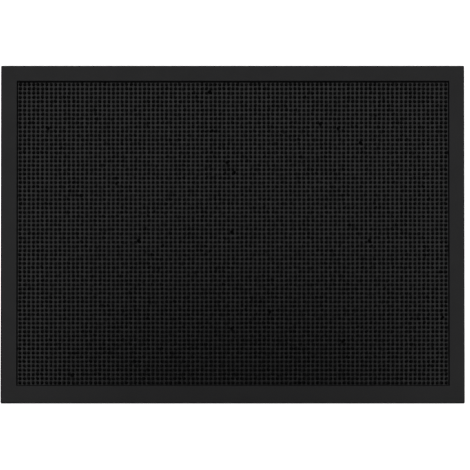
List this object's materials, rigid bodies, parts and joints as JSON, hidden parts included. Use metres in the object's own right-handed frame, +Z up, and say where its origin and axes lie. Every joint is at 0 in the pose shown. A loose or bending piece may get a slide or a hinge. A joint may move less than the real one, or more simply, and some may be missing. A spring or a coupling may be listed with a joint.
{
  "type": "door mat",
  "caption": "Moulded rubber scraper door mat: a flat border around a recessed sheet covered in a grid of short tapered pins that scrape dirt off shoes.",
  "frame": {"origin": "centre of the underside, on the floor", "axes": "+X along the long side, +Y from the front edge to the back edge, +Z up out of the pins"},
  "size_m": [0.6, 0.44, 0.0085],
  "materials": {
    "border_rubber": "smooth satin moulded black rubber",
    "sheet_rubber": "satin moulded black rubber",
    "pin_rubber": "dull moulded black rubber, slightly polished at the tips"
  },
  "bodies": {
    "root": {"backing_sheet": "sheet_rubber", "border_frame": "border_rubber", "pin_rows_01_02": "pin_rubber", "pin_rows_03_04": "pin_rubber", "pin_rows_05_06": "pin_rubber", "pin_rows_07_08": "pin_rubber", "pin_rows_09_10": "pin_rubber", "pin_rows_11_12": "pin_rubber", "pin_rows_13_14": "pin_rubber", "pin_rows_15_16": "pin_rubber", "pin_rows_17_18": "pin_rubber", "pin_rows_19_20": "pin_rubber", "pin_rows_21_22": "pin_rubber", "pin_rows_23_24": "pin_rubber", "pin_rows_25_26": "pin_rubber", "pin_rows_27_28": "pin_rubber", "pin_rows_29_30": "pin_rubber", "pin_rows_31_32": "pin_rubber", "pin_rows_33_34": "pin_rubber", "pin_rows_35_37": "pin_rubber", "pin_rows_38_39": "pin_rubber", "pin_rows_40_41": "pin_rubber", "pin_rows_42_43": "pin_rubber", "pin_rows_44_45": "pin_rubber", "pin_rows_46_47": "pin_rubber", "pin_rows_48_49": "pin_rubber", "pin_rows_50_51": "pin_rubber", "pin_rows_52_53": "pin_rubber", "pin_rows_54_55": "pin_rubber", "pin_rows_56_57": "pin_rubber", "pin_rows_58_59": "pin_rubber", "pin_rows_60_61": "pin_rubber", "pin_rows_62_63": "pin_rubber", "pin_rows_64_65": "pin_rubber", "pin_rows_66_67": "pin_rubber", "pin_rows_68_69": "pin_rubber", "pin_rows_70_71": "pin_rubber"}
  },
  "joints": []
}
